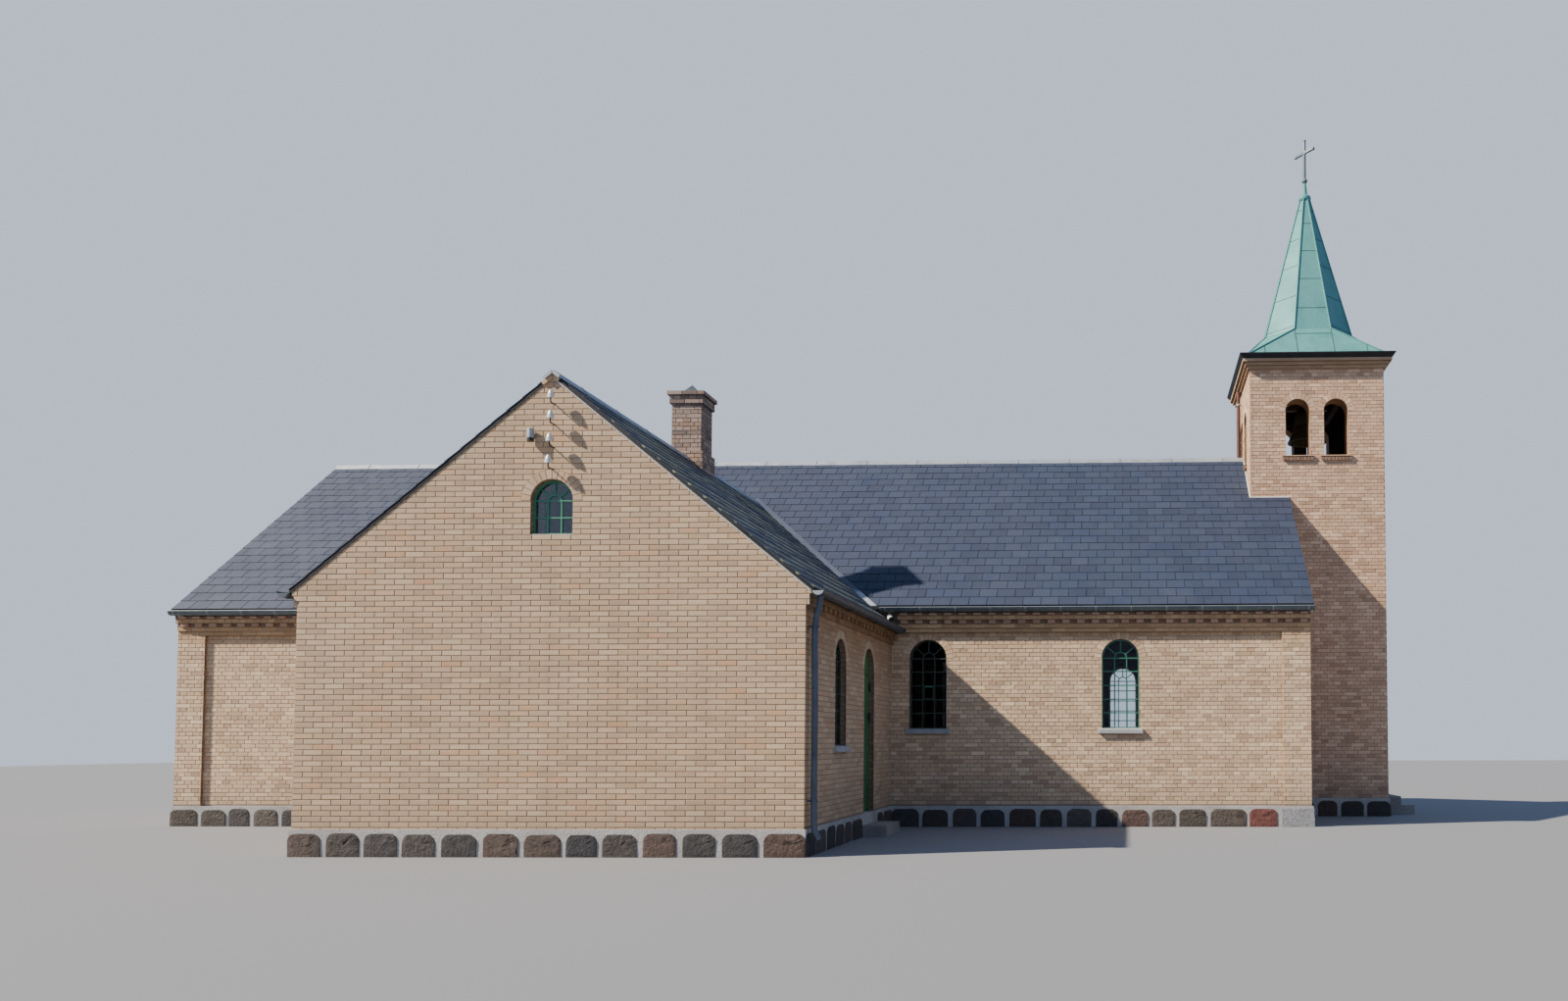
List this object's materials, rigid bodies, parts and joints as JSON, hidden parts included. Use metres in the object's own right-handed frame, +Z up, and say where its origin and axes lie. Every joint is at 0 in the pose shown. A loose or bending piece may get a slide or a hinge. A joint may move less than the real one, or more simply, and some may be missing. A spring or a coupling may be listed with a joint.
{
  "type": "church building",
  "caption": "Small brick church with a slated nave, a gabled side wing with chimney and hinged side door, and a square bell tower under a copper spire with a swinging bell.",
  "frame": {"origin": "centre of the nave's footprint at ground level, on the underside of the nave floor", "axes": "+X along the nave towards the tower, +Y away from the wing, +Z up"},
  "size_m": [21.193, 13.104, 13.253],
  "materials": {
    "brick": "yellow-buff fired brick, matt",
    "stone": "rounded fieldstones in pale mortar, matt",
    "slate": "blue-grey roofing slates, matt",
    "zinc": "weathered zinc sheet",
    "dark_metal": "dark painted sheet metal",
    "copper": "copper sheet with green patina",
    "green_paint": "green oil paint on timber, satin",
    "glass": "window glass in a painted iron frame",
    "floor": "worn floor, matt",
    "iron": "painted iron",
    "bronze": "dark bell bronze",
    "timber": "rough timber",
    "chimney_brick": "sooty brown brick, matt",
    "red_metal": "red-brown painted metal"
  },
  "bodies": {
    "church": {"plinth": "stone", "nave_floor": "floor", "wing_floor": "floor", "tower_floor": "floor", "nave_front_wall": "brick", "nave_back_wall": "brick", "nave_east_gable": "brick", "nave_west_wall_front": "brick", "nave_west_wall_back": "brick", "wing_gable_wall": "brick", "wing_left_wall": "brick", "wing_right_wall": "brick", "wing_right_pier": "brick", "side_door_arch": "brick", "nave_front_window_1": "glass", "nave_front_window_2": "glass", "nave_front_window_3": "glass", "nave_back_glazing": "glass", "wing_gable_window": "glass", "wing_right_window": "glass", "wing_left_window": "glass", "side_door_frame": "green_paint", "side_door_step": "stone", "nave_roof_front": "slate", "nave_roof_back": "slate", "nave_ridge_cap": "zinc", "wing_roof_left": "slate", "wing_roof_right": "slate", "wing_ridge_cap_front": "zinc", "wing_ridge_cap_back": "zinc", "valley_left": "zinc", "valley_right": "zinc", "nave_gutter_right": "dark_metal", "nave_gutter_left": "dark_metal", "nave_gutter_back": "dark_metal", "wing_gutter_right": "dark_metal", "wing_gutter_left": "dark_metal", "wing_downpipe": "dark_metal", "tower_downpipe": "red_metal", "tower_front_wall": "brick", "tower_back_wall": "brick", "tower_east_wall": "brick", "tower_west_wall": "brick", "tower_inner_pier_front": "brick", "tower_inner_pier_back": "brick", "tower_cornice": "brick", "tower_eave": "dark_metal", "belfry_floor": "timber", "tower_door": "green_paint", "tower_steps": "stone", "spire": "copper", "spire_cross": "iron", "bell_frame": "timber", "chimney": "chimney_brick", "chimney_cowl": "zinc"},
    "door_leaf": {"side_door": "green_paint"},
    "bell": {"bell": "bronze"}
  },
  "joints": [
    {"name": "side_door_hinge", "type": "hinge", "parent": "church", "child": "door_leaf", "pos_m": [2.486, -5.2219, 1.4], "axis": [0, 0, 1], "range_deg": [0, 95]},
    {"name": "bell_swing", "type": "hinge", "parent": "church", "child": "bell", "pos_m": [9.924, 0, 7.9], "axis": [1, 0, 0], "range_deg": [-60, 60]}
  ]
}
